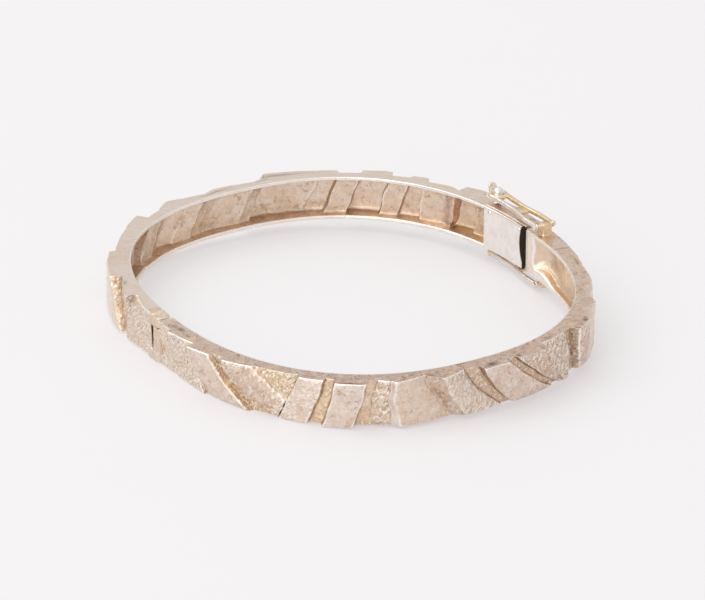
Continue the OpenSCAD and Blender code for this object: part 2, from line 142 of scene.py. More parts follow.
FRONT_RELIEF = [
    Facet(176, 176, 2.1, 2.0, 1.8, 1.7, 0, 1, 0.00, 0.75, 0.30, 0.00),
    Facet(187, 187, 2.7, 2.1, 1.7, 2.4, 0, 2, 0.05, 0.90, 0.30, 0.00),
    Facet(197, 202, 3.3, 2.9, 2.0, 2.5, -0.5, 1, 0.10, 0.18, 0.12, 0.30),
    Facet(204, 216, 2.2, 2.3, 1.7, 1.7, -1.5, 1, 0.00, 1.00, 0.95, 0.20),
    Facet(208, 226, 2.9, 2.1, 2.2, 2.2, -4.5, 1, 0.05, 0.60, 0.35, 0.45),
    Facet(216, 231, 1.8, 1.5, 1.8, 1.7, 0, 2, 0.00, 1.00, 0.80, 0.05),
    Facet(228, 223, 2.2, 2.4, 2.3, 2.5, 0, 1, 0.05, 0.60, 0.25, 0.22),
    Facet(234, 230, 1.6, 1.7, 1.8, 1.9, 0, 1, 0.00, 0.60, 0.95, 0.15),
    Facet(236, 233, 3.0, 3.0, 2.9, 2.9, 0, 1, 0.05, 0.15, 0.05, 0.32),
    Facet(243, 240, 1.6, 1.6, 1.8, 1.8, 0, 1, 0.00, 0.50, 0.75, 0.30),
    Facet(245, 243, 1.8, 2.2, 1.8, 2.1, 0, 1, 0.04, 0.95, 0.60, 0.25),
    Facet(248, 248, 2.1, 2.8, 2.0, 2.8, -0.3, 1, 0.00, 0.10, 0.00, 0.05),
    Facet(249, 250, 2.8, 1.5, 2.8, 1.6, -0.5, 1, 0.10, 0.25, 0.40, 0.28),
    Facet(256, 262, 1.5, 3.1, 1.5, 2.3, -0.5, 1, 0.00, 0.70, 0.45, 0.40),
    Facet(259, 265, 3.2, 1.9, 2.5, 2.0, -0.5, 1, 0.05, 0.80, 0.30, 0.12),
    Facet(265, 275, 1.6, 1.9, 1.6, 1.7, -1, 1, 0.00, 0.70, 0.75, 0.50),
    Facet(269, 278, 3.1, 3.1, 2.3, 2.3, -1, 1, 0.10, 0.15, 0.12, 0.42),
    Facet(276, 290, 1.9, 2.0, 1.8, 1.8, -1, 1, 0.00, 0.70, 0.85, 0.42),
    Facet(279, 292, 2.7, 3.1, 2.3, 2.2, -1, 1, 0.00, 0.85, 0.35, 0.48),
    Facet(287, 293, 1.5, 1.9, 2.6, 2.7, 0, 4, 0.03, 0.95, 0.40, 0.38),
    Facet(295, 295, 1.7, 1.8, 1.8, 1.8, 0, 1, 0.00, 0.90, 0.85, 0.25),
    Facet(298, 300, 3.2, 3.2, 2.6, 2.8, 0, 1, 0.06, 0.15, 0.12, 0.65),
    Facet(304, 304, 3.0, 1.4, 2.8, 2.7, 0, 4, 0.00, 0.30, 0.15, 0.25),
    Facet(307, 307, 1.4, 2.8, 2.7, 2.6, 0, 4, 0.00, 0.30, 0.15, 0.20),
    Facet(312, 309, 2.8, 1.0, 2.6, 2.4, 0, 4, 0.00, 0.35, 0.20, 0.25),
    Facet(318, 319, 1.0, 2.3, 2.3, 2.4, 0, 4, 0.00, 0.40, 0.25, 0.20),
    Facet(324, 321, 2.3, 2.1, 2.4, 2.2, 0, 1, 0.05, 0.40, 0.25, 0.25),
    Facet(333, 330, 2.1, 2.4, 2.3, 2.4, 0, 2, 0.00, 0.80, 0.50, 0.25),
    Facet(343, 346, 2.5, 2.8, 2.7, 2.8, 0, 1, 0.04, 0.40, 0.30, 0.15)]
REAR_RELIEF = [
    Facet(-6, -6, 2.9, 2.9, 2.9, 2.9, 0, 1, 0.00, 0.40, 0.30, 0.15),
    Facet(7, 4, 2.8, 3.1, 2.8, 3.0, 0.5, 1, 0.00, 0.90, 0.50, 0.20),
    Facet(14, 17, 3.1, 2.9, 3.1, 2.9, -0.5, 1, 0.00, 0.25, 0.20, 0.20),
    Facet(21, 20, 2.2, 2.6, 2.4, 2.3, 0.5, 1, 0.00, 0.90, 0.70, 0.25),
    Facet(25, 27, 3.6, 3.1, 3.3, 2.9, -0.5, 1, 0.05, 0.20, 0.15, 0.20),
    Facet(31, 33, 1.4, 2.0, 1.9, 2.3, 0, 1, 0.00, 0.80, 0.80, 0.35),
    Facet(34, 36, 2.1, 1.7, 2.3, 1.9, 0, 1, 0.04, 0.80, 0.40, 0.20),
    Facet(41, 42, 2.7, 2.5, 2.6, 2.5, 0.5, 1, 0.04, 0.30, 0.20, 0.25),
    Facet(45, 48, 1.9, 1.6, 2.1, 1.8, 0, 1, 0.00, 0.85, 0.75, 0.30),
    Facet(50, 53, 2.9, 2.6, 2.7, 2.9, 0.5, 1, 0.05, 0.25, 0.20, 0.25),
    Facet(57, 61, 1.7, 1.6, 1.8, 1.7, 0, 1, 0.00, 0.85, 0.80, 0.30),
    Facet(63, 67, 2.4, 2.6, 2.5, 2.8, -0.5, 1, 0.04, 0.60, 0.35, 0.20),
    Facet(67, 72, 2.5, 3.3, 2.8, 3.1, -0.5, 1, 0.06, 0.20, 0.10, 0.25),
    Facet(80, 85, 2.0, 1.4, 2.2, 2.0, 0.5, 2, 0.00, 0.90, 0.85, 0.30),
    Facet(84, 89, 1.5, 2.1, 2.1, 2.3, 0, 2, 0.05, 0.70, 0.40, 0.20),
    Facet(94, 99, 2.0, 1.3, 2.3, 2.0, 0, 2, 0.00, 0.80, 0.75, 0.35),
    Facet(98, 103, 1.4, 1.9, 1.9, 2.2, 0, 1, 0.00, 0.85, 0.60, 0.25),
    Facet(103, 109, 2.0, 2.9, 2.6, 3.0, -0.5, 1, 0.05, 0.25, 0.15, 0.20),
    Facet(107, 113, 2.8, 1.9, 2.8, 2.4, 0, 1, 0.05, 0.70, 0.35, 0.25),
    Facet(111, 117, 1.6, 1.5, 1.9, 1.8, 0, 1, 0.00, 0.85, 0.85, 0.30),
    Facet(117, 122, 3.1, 2.5, 2.9, 2.7, 0.5, 1, 0.05, 0.35, 0.20, 0.15),
    Facet(125, 129, 2.4, 2.1, 2.6, 2.7, -0.5, 1, 0.04, 0.80, 0.45, 0.20),
    Facet(137, 139, 2.9, 3.1, 3.2, 2.8, -0.5, 1, 0.08, 0.12, 0.10, 0.10),
    Facet(151, 158, 1.5, 2.7, 2.0, 2.1, -1, 2, 0.00, 1.00, 1.00, 0.35),
    Facet(163, 162, 1.2, 2.0, 2.5, 1.8, 0, 5, 0.08, 0.90, 0.35, 0.05)]

COLUMN_MM = 0.15
FLANK_DEG = 0.2
LEAST_WIDTH_DEG = 0.05
EDGE_WOBBLE_DEG = 0.7
WALL_STEP_MM = 0.3
MOST_WALL_COLUMNS = 5
UNEVEN_MM = 0.11
UNEVEN_REACH_MM = 1.4
WORN_DROP_MM = 0.10


class Relief:
    """Columns of a casting between two angles: each stays inside its facet at every height."""

    def __init__(self, facets, span):
        reached = [i for i, facet in enumerate(facets) if facet.top <= span[0]]
        inside = [f for f in facets[reached[-1]:] if min(f.top, f.bottom) < span[1]]
        self.facets = inside
        self.span = span
        columns = []
        for i, facet in enumerate(inside):
            last = i + 1 == len(inside)
            ends = (span[1], span[1]) if last else (inside[i + 1].top, inside[i + 1].bottom)
            starts = (span[0], span[0]) if i == 0 else (facet.top, facet.bottom)
            width_mm = 0.49 * max(ends[0] - starts[0], ends[1] - starts[1])
            steps = max(4, round(width_mm / COLUMN_MM))
            columns += [(i, 0.5 + 0.5 * crowd(2 * k / steps - 1), 0.0) for k in range(steps + 1)]
            if not last:
                columns += self.wall_columns(i)
        self.index = np.array([c[0] for c in columns])
        self.following = np.minimum(self.index + 1, len(inside) - 1)
        self.u = np.array([c[1] for c in columns])
        self.wall = np.array([c[2] for c in columns])

    def wall_columns(self, i):
        """Columns down the wall between facet i and the next one, more of them on a higher wall."""
        facet, after = self.facets[i], self.facets[i + 1]
        drop = max(abs(facet.tr - after.tl), abs(facet.br - after.bl))
        count = min(MOST_WALL_COLUMNS, int(drop / WALL_STEP_MM))
        return [(i, 1.0, (k + 1) / (count + 1)) for k in range(count)]

    def value(self, name, index):
        return np.array([getattr(self.facets[i], name) for i in index], dtype=float)

    def goes_down(self):
        """Whether the wall after each column leads down to the next facet."""
        end = self.value("tr", self.index) + self.value("br", self.index)
        start = self.value("tl", self.following) + self.value("bl", self.following)
        return start < end

    def foot(self):
        """How near each wall column is to the foot of its wall; 0 away from walls."""
        return (self.wall > 0) * np.where(self.goes_down(), self.wall, 1 - self.wall)

    def column(self, name):
        """One property at each column; a wall takes most of its finish from the lower facet."""
        share = np.where(self.goes_down(), self.wall ** 0.4, 1 - (1 - self.wall) ** 0.4)
        return mix(self.value(name, self.index), self.value(name, self.following), share)

    def edges(self, h):
        """Edge angles at a share h of the height, kept in order from the first to the last."""
        raw = []
        for f in self.facets:
            wobble = EDGE_WOBBLE_DEG * noise.noise(Vector((f.top * 0.37, h * 2.6, 2.0)))
            raw.append(mix(f.bottom, f.top, h) + f.bow * 4 * h * (1 - h) + wobble)
        edges = [self.span[0], *raw[1:], self.span[1]]
        for i in range(len(edges) - 2, 0, -1):
            edges[i] = min(edges[i], edges[i + 1] - LEAST_WIDTH_DEG)
        return np.array(edges)

    def true_start(self, h):
        """Edge angles before they were cut to the span, so that a cut facet keeps its slope."""
        raw = self.edges(h)
        first = self.facets[0]
        raw[0] = mix(first.bottom, first.top, h)
        return raw

    def place(self, edges, index, u):
        """Angle at a share u of a facet's width, clear of the walls at its two ends."""
        start, end = edges[index], edges[index + 1]
        flank = np.minimum(FLANK_DEG, 0.3 * (end - start))
        after = np.where(index == 0, 0, flank)
        before = np.where(index == len(self.facets) - 1, 0, flank)
        return start + after + u * (end - start - after - before)

    def angles(self, z):
        """Angle of every column at a height z."""
        edges = self.edges(np.clip(z / BAND_H + 0.5, 0, 1))
        return mix(self.place(edges, self.index, self.u), self.place(edges, self.following, 0.0), self.wall)

    def facet_heights(self, h, index, theta):
        """Heights of facets over the wrist opening at the given angles, without unevenness."""
        edges = self.true_start(h)
        start, end = edges[index], edges[index + 1]
        u = np.clip((theta - start) / (end - start), 0, 1)
        top = mix(self.value("tl", index), self.value("tr", index), u)
        bottom = mix(self.value("bl", index), self.value("br", index), u)
        crown = self.value("crown", index)
        swell = crown * (1 - (2 * u - 1) ** 4) * (1 - (2 * h - 1) ** 4)
        worn = WORN_DROP_MM * (crown > 0) * np.maximum((2 * u - 1) ** 14, (2 * h - 1) ** 30)
        return mix(bottom, top, h ** self.value("late", index)) + swell - worn

    def heights(self, z):
        """Height of every column over the wrist opening at a height z, before any texture."""
        h = np.clip(z / BAND_H + 0.5, 0, 1)
        edges = self.edges(h)
        here = self.facet_heights(h, self.index, self.place(edges, self.index, self.u))
        there = self.facet_heights(h, self.following, self.place(edges, self.following, 0.0))
        waves = [noise.noise(Vector((t * 0.49, z, 7.0)) / UNEVEN_REACH_MM) for t in self.angles(z)]
        return mix(here, there, self.wall) + UNEVEN_MM * np.array(waves)


# ---- meshes
PATH_STEPS = 6
WIRE_SIDES = 14
LATHE_SIDES = 32
CORNER_POINTS = 5


def new_object(name, data):
    """An object with the given data, linked to the scene."""
    made = bpy.data.objects.new(name, data)
    bpy.context.collection.objects.link(made)
    return made


def mesh_object(name, verts, faces, material, body, replaced, sharp_deg=40):
    """A piece in metres from millimetre points, riding on a body."""
    mesh = bpy.data.meshes.new(name)
    mesh.from_pydata([Vector(v) * MM for v in verts], [], faces)
    mesh.update()
    bm = bmesh.new()
    bm.from_mesh(mesh)
    bmesh.ops.recalc_face_normals(bm, faces=bm.faces)
    bm.to_mesh(mesh)
    bm.free()
    mesh.polygons.foreach_set("use_smooth", [True] * len(mesh.polygons))
    mesh.set_sharp_from_angle(angle=math.radians(sharp_deg))
    piece = new_object(name, mesh)
    mesh.materials.append(material)
    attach(piece, body)
    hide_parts(*replaced)
    return piece


def point_attribute(piece, name, values):
    attribute = piece.data.attributes.new(name, "FLOAT", "POINT")
    attribute.data.foreach_set("value", np.asarray(values, dtype=np.float32).ravel())


def loft(rings, closed=False):
    """Vertices and faces of a skin through equal rings: a tube with two caps, or a closed ring."""
    m = len(rings[0])
    joins = [(i, i + 1) for i in range(len(rings) - 1)]
    if closed:
        joins.append((len(rings) - 1, 0))
    faces = [(a * m + j, a * m + (j + 1) % m, b * m + (j + 1) % m, b * m + j)
             for a, b in joins for j in range(m)]
    if not closed:
        faces += [tuple(range(m)), tuple((len(rings) - 1) * m + j for j in range(m))]
    return [Vector(p) for ring in rings for p in ring], faces


def smooth_path(points):
    """Catmull-Rom curve through the points."""
    points = [Vector(p) for p in points]
    ends = [points[0] * 2 - points[1], *points, points[-1] * 2 - points[-2]]
    path = []
    for a, b, c, d in zip(ends, ends[1:], ends[2:], ends[3:]):
        for k in range(PATH_STEPS):
            t = k / PATH_STEPS
            path.append(0.5 * (2 * b + (c - a) * t + (2 * a - 5 * b + 4 * c - d) * t ** 2
                               + (3 * b - a - 3 * c + d) * t ** 3))
    return [*path, points[-1]]


def round_turns(count):
    """Angles of equal steps round a full turn, in radians."""
    return [2 * math.pi * k / count for k in range(count)]


def sweep(path, radius, up=Z_AXIS, closed=False):
    """Round wire along a path that doesn't run along the up direction."""
    count = len(path)
    rings = []
    for i, p in enumerate(path):
        if closed:
            tangent = path[(i + 1) % count] - path[i - 1]
        else:
            tangent = path[min(i + 1, count - 1)] - path[max(i - 1, 0)]
        side = tangent.cross(up).normalized()
        rise = side.cross(tangent).normalized()
        rings.append([p + (side * math.cos(a) + rise * math.sin(a)) * radius
                      for a in round_turns(WIRE_SIDES)])
    return loft(rings, closed)


def circle_path(centre, radius, a, b, count):
    """Points of a circle in the plane of the unit vectors a and b."""
    return [centre + (a * math.cos(t) + b * math.sin(t)) * radius for t in round_turns(count)]


def rounded_outline(half_a, half_b, corner):
    """Outline of a rounded rectangle, as (a, b) pairs."""
    outline = []
    for quarter, (sa, sb) in enumerate(((1, 1), (-1, 1), (-1, -1), (1, -1))):
        for k in range(CORNER_POINTS):
            turn = math.radians(90 * (quarter + k / (CORNER_POINTS - 1)))
            outline.append((sa * (half_a - corner) + corner * math.cos(turn),
                            sb * (half_b - corner) + corner * math.sin(turn)))
    return outline


def stacked(origin, a, b, up, levels):
    """Skin through rounded rectangles stacked along up; a level is (height, half_a, half_b, corner)."""
    return loft([[origin + a * p + b * q + up * height for p, q in rounded_outline(half_a, half_b, corner)]
                 for height, half_a, half_b, corner in levels])


def lathe(centre, profile):
    """Turned shape about +Z from (radius, height) pairs."""
    round_about = [Vector((math.cos(t), math.sin(t), 0)) for t in round_turns(LATHE_SIDES)]
    return loft([[centre + v * r + Vector((0, 0, z)) for v in round_about] for r, z in profile])


def point_looks(piece, looks):
    """Stores each point's finish, the last axis of looks, where the materials read it."""
    for k, name in enumerate(("texture", "gilt", "tarnish", "mark")):
        point_attribute(piece, name, looks[..., k])


class Shells:
    """Closed shells gathered into one piece, each with its own finish."""

    def __init__(self):
        self.verts, self.faces, self.looks = [], [], []

    def add(self, shell, texture=0.0, gilt=0.0, tarnish=0.0, marks=None):
        verts, faces = shell
        start = len(self.verts)
        self.verts += verts
        self.faces += [tuple(start + i for i in face) for face in faces]
        self.looks += [(texture, gilt, tarnish, mark) for mark in marks or [0.0] * len(verts)]

    def build(self, name, material, slot, body, *replaced):
        piece = mesh_object(name, self.verts, self.faces, material, body, replaced)
        point_looks(piece, np.array(self.looks))
        return piece


# ---- cast skins
def flake(q):
    """Height of a randomly tilted flake round the nearest seed, like crumpled foil."""
    seed = noise.voronoi(q)[1][0]
    lean = noise.cell_vector(seed * 9.7) * 2 - Vector((1, 1, 1))
    return (q - seed).dot(lean)


def grain(points, amount, scale, seed):
    """Height of a rough cast skin at each point, times the amount there."""
    out = np.zeros(len(points))
    shift = Vector((seed, 0, 0))
    for k, (p, a) in enumerate(zip(points, amount)):
        if a > 0.02:
            q = Vector(p) * scale + shift
            swirl = q + 0.35 * noise.noise_vector(q * 0.9)
            out[k] = a * (0.7 * flake(swirl) + 0.4 * noise.fractal(q * 1.9, 0.9, 2.0, 3))
    return out


def bulge(points, step):
    """How far each grid point stands out of its neighbours over their distance: above 0 on edges."""
    def shifted(d, axis):
        moved = np.roll(points, d, axis)
        if axis == 1 and d > 0:
            moved[:, :d] = points[:, :1]
        if axis == 1 and d < 0:
            moved[:, d:] = points[:, -1:]
        return moved
    along = shifted(-step, 1) - shifted(step, 1)
    across = shifted(-step, 0) - shifted(step, 0)
    normal = np.cross(along, across)
    normal /= np.maximum(np.linalg.norm(normal, axis=-1, keepdims=True), 1e-9)
    near = [shifted(d, axis) for axis in (0, 1) for d in (step, -step)]
    reach = sum(np.linalg.norm(points - q, axis=-1) for q in near) / 4
    return np.einsum("rcx,rcx->rc", points - sum(near) / 4, normal) / np.maximum(reach, 0.02)


# Marks on the side faces: angle and its spread in degrees, place across the face (0 at the wrist,
# 1 outside) and its spread, and strength.
# The mark at 239.5 degrees is a painted shadow line along the outer edge of the side face.
FRONT_MARKS = [
    (185.6, 1.1, 0.62, 0.13, 0.55), (188.4, 1.4, 0.40, 0.13, 0.85), (239.5, 3.0, 0.95, 0.06, 0.90),
    (257.0, 0.9, 0.80, 0.12, 0.75), (272.0, 1.2, 0.75, 0.14, 0.95), (279.5, 0.6, 0.80, 0.12, 0.60),
    (303.0, 0.7, 0.88, 0.10, 0.90), (335.0, 2.4, 0.75, 0.06, 0.70), (344.0, 0.3, 0.50, 0.50, 0.50)]
REAR_MARKS = [
    (77.0, 6.0, 0.70, 0.10, 0.50), (95.0, 4.0, 0.55, 0.08, 0.60), (155.0, 1.2, 0.85, 0.15, 0.45)]

OUTER_ROWS = 42
FACE_ROWS = 11
RIM_ROWS = 4
WALL_ROWS = 9
FLOOR_ROWS = 24
POCKET_Z = HALF_H - RIM
BEVEL = 0.06
DRAFT = 0.16
SHUT_SPREAD = 0.25
WALL_FLARE = 0.12
LEAST_DEPTH = 0.4
GRAIN_MM = 0.14
WALL_GRAIN_DEG = 0.5
CREASE_DIRT = 0.55
FLOOR_GRAIN_MM = 0.06


def nowhere(theta, *_):
    return np.zeros_like(theta)


class Casting:
    """Closed skin of a cast piece: rows of points round its section, each with its finish."""

    seat_at = staticmethod(nowhere)
    open_at = staticmethod(nowhere)
    lift_at = staticmethod(nowhere)
    face_tarnish_at = staticmethod(nowhere)
    pocket_gilt_at = staticmethod(nowhere)
    pocket_tarnish = 0.2
    pocket_texture = 0.4
    pocket_round = 0.1
    face_gilt = 0.5
    marks = ()
    gap_shade_column = None

    def __init__(self, relief, **settings):
        self.relief = relief
        self.own = [relief.column(name) for name in ("texture", "gilt", "tarnish")]
        self.rows, self.finish = [], []
        for name, value in settings.items():
            setattr(self, name, value)

    def add(self, theta, off, z, texture, gilt, tarnish, mark=0.0):
        look = [np.broadcast_to(v, theta.shape) for v in (texture, gilt, tarnish, mark)]
        self.rows.append(band_points(theta, off, z))
        self.finish.append(np.stack(look, -1))

    def outer_relief(self):
        """The carved outside, from the bottom edge to the top edge."""
        for r in range(OUTER_ROWS):
            z = (HALF_H - BEVEL) * crowd(2 * r / (OUTER_ROWS - 1) - 1)
            theta, off = self.relief.angles(z), self.relief.heights(z)
            fade = 0.35 + 0.65 * smooth((HALF_H - abs(z)) / 0.25)
            bark = grain(band_points(theta, off, z), self.own[0] * fade, scale=1.7, seed=3.7)
            on_wall = 4 * self.relief.wall * (1 - self.relief.wall)
            patches = [0.55 + 0.9 * noise.noise(Vector((t * 0.3, z * 0.6, 5.0))) for t in theta]
            crease = CREASE_DIRT * self.relief.foot() * np.clip(patches, 0.1, 1)
            self.add(theta + WALL_GRAIN_DEG * on_wall * bark, off + GRAIN_MM * bark, z, *self.own, crease)

    def mark_at(self, theta, across):
        total = np.zeros_like(theta)
        for angle, spread, place, width, strength in self.marks:
            total += strength * np.exp(-((theta - angle) / spread) ** 2 - ((across - place) / width) ** 2)
        return np.clip(total, 0, 1)

    def side_face(self, side):
        """Rows of a flat side face, from its outer edge inwards, as arguments of add."""
        theta, off = self.relief.angles(side * HALF_H), self.relief.heights(side * HALF_H)
        seat, tarnish = self.seat_at(theta), self.face_tarnish_at(theta)
        rows = [(theta, off - 0.015, side * (HALF_H - BEVEL * 0.35), *self.own)]
        for k in range(FACE_ROWS + 1):
            t = 0.5 + 0.5 * crowd(2 * k / FACE_ROWS - 1)
            wave = 0.004 * np.sin(np.radians(theta * 11)) * math.sin(math.pi * t)
            mark = self.mark_at(theta, 1 - t) * (side > 0)
            rows.append((theta, mix(off - BEVEL, seat + BEVEL, t), side * (HALF_H - 0.015 + wave),
                         0.22, self.face_gilt, tarnish, mark))
        return rows

    def rim_face(self, side):
        """Rows of the narrow bright face beside the pocket, from the side face to the pocket."""
        theta = self.relief.angles(side * HALF_H)
        edge, corner = self.pocket_edge(side, theta), side * (HALF_H - BEVEL)
        return [(theta, self.seat_at(theta), mix(corner, edge, k / RIM_ROWS), 0.08, 0.05, 0.0)
                for k in range(RIM_ROWS)]

    def pocket_edge(self, side, theta):
        lift = self.lift_at(theta) if side < 0 else 0.0
        return side * (POCKET_Z - lift) + 0 * theta

    def depth_at(self, theta, z):
        deep = self.relief.heights(z) - WALL
        return np.maximum(LEAST_DEPTH, deep - self.seat_at(theta))

    def pocket_look(self, theta, z, how_open):
        """Texture, gilt and tarnish inside the pocket, fading out where it closes."""
        texture = mix(0.10, self.pocket_texture, how_open)
        gilt = mix(0.10, self.pocket_gilt_at(theta, z), how_open)
        return texture, gilt, self.pocket_tarnish * how_open

    def pocket_wall(self, side):
        """Rows of a side wall of the pocket, from the rim to the pocket's floor."""
        rows = []
        z_flat = side * (POCKET_Z - DRAFT)
        theta = self.relief.angles(z_flat)
        edge = self.pocket_edge(side, theta)
        how_open = self.open_at(theta, edge)
        depth = self.depth_at(theta, z_flat)
        for k in range(1, WALL_ROWS + 1):
            f = k / WALL_ROWS
            inwards = f * mix(SHUT_SPREAD, DRAFT, how_open) + how_open * WALL_FLARE * f ** 6
            round_off = self.pocket_round * f ** (0.6 / self.pocket_round)
            off = self.seat_at(theta) + how_open * depth * f * (1 - round_off)
            rows.append((theta, off, edge - side * inwards, *self.pocket_look(theta, z_flat, how_open)))
        return rows

    def pocket_floor(self, top, bottom):
        """Rows of the pocket's floor, which repeats the outer relief, between two wall rows."""
        z_top = POCKET_Z - DRAFT
        for k in range(1, FLOOR_ROWS):
            t = k / FLOOR_ROWS
            z_flat = mix(z_top, -z_top, t)
            theta = self.relief.angles(z_flat)
            z = mix(top[2], bottom[2], t)
            how_open = self.open_at(theta, z)
            depth = self.depth_at(theta, z_flat)
            rounding = 1 - self.pocket_round * math.exp(-min(t, 1 - t) * 2.5 / self.pocket_round)
            amount = how_open * self.pocket_texture * (1 + self.own[0])
            rough = FLOOR_GRAIN_MM * grain(band_points(theta, depth, z), amount, scale=1.3, seed=9.1)
            self.add(theta, self.seat_at(theta) + how_open * depth * rounding + rough, z,
                     *self.pocket_look(theta, z_flat, how_open))

    def skin(self):
        """All rows in order round the section."""
        self.outer_relief()
        upper, lower = self.pocket_wall(1), self.pocket_wall(-1)
        for row in [*self.side_face(1), *self.rim_face(1), *upper]:
            self.add(*row)
        self.pocket_floor(upper[-1], lower[-1])
        for row in reversed([*self.side_face(-1), *self.rim_face(-1), *lower]):
            self.add(*row)
        return np.array(self.rows), np.array(self.finish)

    def build(self, name, body, replaced):
        points, looks = self.skin()
        # The chosen column, the block's end cap beside the hinge gap, is marked near black: painted shade
        # in the gap.
        if self.gap_shade_column is not None:
            looks[:, self.gap_shade_column, 3] = 1
        count = points.shape[1]
        faces = []
        for r in range(len(points)):
            a, b = r * count, (r + 1) % len(points) * count
            faces += [(a + c, a + c + 1, b + c + 1, b + c) for c in range(count - 1)]
        faces.append(tuple(r * count for r in range(len(points))))
        faces.append(tuple(r * count + count - 1 for r in range(len(points))))
        piece = mesh_object(name, points.reshape(-1, 3), faces, CAST, body, [replaced], 70)
        point_looks(piece, looks)
        point_attribute(piece, "ridge", bulge(points, 1) + 0.5 * bulge(points, 3))
        return piece


# ---- materials
def feed(tree, socket, value):
    """Links an input to another node's output, or sets it to a constant."""
    if isinstance(value, bpy.types.NodeSocket):
        tree.links.new(value, socket)
    else:
        socket.default_value = value


def add_node(tree, kind, links=None, **settings):
    """A shader node; links maps its inputs to sockets or constants."""
    made = tree.nodes.new("ShaderNode" + kind)
    for key, value in settings.items():
        setattr(made, key, value)
    for key, value in (links or {}).items():
        feed(tree, made.inputs[key], value)
    return made


class Shader:
    """Short names for the node mixes that the metals share."""

    def __init__(self, name):
        self.material = bpy.data.materials.new(name)
        self.material.use_nodes = True
        self.tree = self.material.node_tree
        self.surface = self.tree.nodes["Principled BSDF"]
        coords = add_node(self.tree, "TexCoord")
        scale = add_node(self.tree, "Mapping", {"Vector": coords.outputs["Object"]})
        scale.inputs["Scale"].default_value = (1 / MM,) * 3
        self.mm = scale.outputs["Vector"]

    def noise(self, scale, detail=4.0, roughness=0.6, distortion=0.0):
        return add_node(self.tree, "TexNoise", {"Vector": self.mm, "Scale": scale, "Detail": detail,
                        "Roughness": roughness, "Distortion": distortion}).outputs["Fac"]

    def streaks(self, scale, stretch):
        drawn = add_node(self.tree, "Mapping", {"Vector": self.mm})
        drawn.inputs["Scale"].default_value = stretch
        return add_node(self.tree, "TexNoise", {"Vector": drawn.outputs["Vector"], "Scale": scale,
                        "Detail": 5.0, "Roughness": 0.7}).outputs["Fac"]

    def cells(self, scale):
        return add_node(self.tree, "TexVoronoi", {"Vector": self.mm, "Scale": scale}).outputs["Distance"]

    def attribute(self, name):
        return add_node(self.tree, "Attribute", attribute_name=name).outputs["Fac"]

    def math(self, operation, a, b=0.0, clamp=False):
        made = add_node(self.tree, "Math", operation=operation, use_clamp=clamp)
        for socket, value in zip(made.inputs, (a, b)):
            feed(self.tree, socket, value)
        return made.outputs[0]

    def ramp(self, value, low, high, to_low=0.0, to_high=1.0):
        return add_node(self.tree, "MapRange", {"Value": value, "From Min": low, "From Max": high,
                        "To Min": to_low, "To Max": to_high}).outputs["Result"]

    def share(self, a, b):
        """Product of two amounts, kept between 0 and 1."""
        return self.math("MULTIPLY", a, b, True)

    def blend(self, factor, a, b):
        made = add_node(self.tree, "Mix", data_type="RGBA")
        for index, value in ((0, factor), (6, a), (7, b)):
            feed(self.tree, made.inputs[index], value)
        return made.outputs[2]

    def bump(self, height, distance_mm):
        made = add_node(self.tree, "Bump", {"Height": height, "Distance": distance_mm * MM})
        self.tree.links.new(made.outputs["Normal"], self.surface.inputs["Normal"])

    def finish(self, colour, roughness, metallic=1.0):
        self.tree.links.new(colour, self.surface.inputs["Base Color"])
        self.tree.links.new(roughness, self.surface.inputs["Roughness"])
        self.surface.inputs["Metallic"].default_value = metallic
        return self.material


SILVER = (0.88, 0.79, 0.71, 1)
BRIGHT = (0.97, 0.94, 0.90, 1)
CREAM = (0.98, 0.89, 0.74, 1)
GOLD = (0.82, 0.62, 0.39, 1)
ROSE = (0.64, 0.46, 0.37, 1)
BROWN = (0.44, 0.29, 0.20, 1)
# Near black: oxide and stains in creases, and also painted shade in the hinge gap, at the clasp's mouth and
# in a shadow line on the front's side face.
OXIDE_AND_SHADE = (0.035, 0.026, 0.02, 1)
WIRE_SILVER = (0.90, 0.87, 0.83, 1)
WIRE_GOLD = (0.88, 0.66, 0.40, 1)


